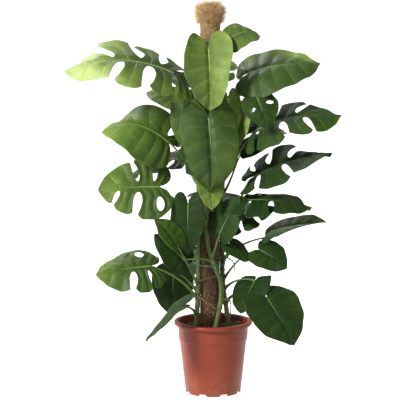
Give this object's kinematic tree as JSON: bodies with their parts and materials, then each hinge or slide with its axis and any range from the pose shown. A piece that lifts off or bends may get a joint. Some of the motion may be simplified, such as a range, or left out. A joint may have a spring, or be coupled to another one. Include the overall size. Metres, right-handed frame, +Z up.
{
  "type": "potted plant",
  "caption": "Split-leaf climbing house plant, tied to a coir pole in a round plastic nursery pot with soil.",
  "frame": {"origin": "middle of the pot's central foot, on the ground", "axes": "+Z up along the pole; -Y is the plant's front, where most leaves face; +X is its right as seen from the front"},
  "size_m": [0.824, 0.5781, 1.183],
  "materials": {
    "pot_plastic": "satin",
    "soil": "rough",
    "timber": "sawn",
    "coir": "fibrous",
    "stem": "satin",
    "leaf_old": "satin",
    "leaf_full": "satin",
    "leaf_young": "satin",
    "tie_wire": "satin"
  },
  "bodies": {
    "root": {"pot": "pot_plastic", "soil": "soil", "pole_core": "timber", "coir_sleeve": "coir", "left_stem": "stem", "front_stem": "stem", "right_stem": "stem", "back_stem": "stem", "lower_tie": "tie_wire", "middle_tie": "tie_wire", "upper_tie": "tie_wire", "leaf_holed": "leaf_old", "leaf_right_big": "leaf_old", "leaf_round_dark": "leaf_old", "leaf_left_fold": "leaf_old", "leaf_dark_hang": "leaf_old", "leaf_dark_triangle": "leaf_old", "leaf_dark_heart": "leaf_old", "leaf_heart": "leaf_old", "leaf_behind_heart": "leaf_old", "leaf_right_droop": "leaf_old", "leaf_small_right": "leaf_old", "leaf_under_high": "leaf_old", "leaf_under_low": "leaf_old", "leaf_fingers": "leaf_old", "leaf_diagonal": "leaf_old", "leaf_behind_right": "leaf_old", "leaf_back_right": "leaf_old", "leaf_back_left": "leaf_old", "leaf_back_middle": "leaf_old", "leaf_back_low": "leaf_old", "leaf_left_upper": "leaf_full", "leaf_droop_mid": "leaf_full", "leaf_top_curl": "leaf_full", "leaf_right_upper": "leaf_full", "leaf_centre": "leaf_full", "leaf_left_split": "leaf_full", "leaf_left_low": "leaf_full", "leaf_slender": "leaf_full", "leaf_far_right": "leaf_full", "leaf_back_top": "leaf_full", "leaf_top_left": "leaf_young", "leaf_left_behind": "leaf_young", "leaf_top_young": "leaf_young", "leaf_band": "leaf_young", "leaf_young_mid": "leaf_young", "leaf_narrow": "leaf_young"}
  },
  "joints": []
}
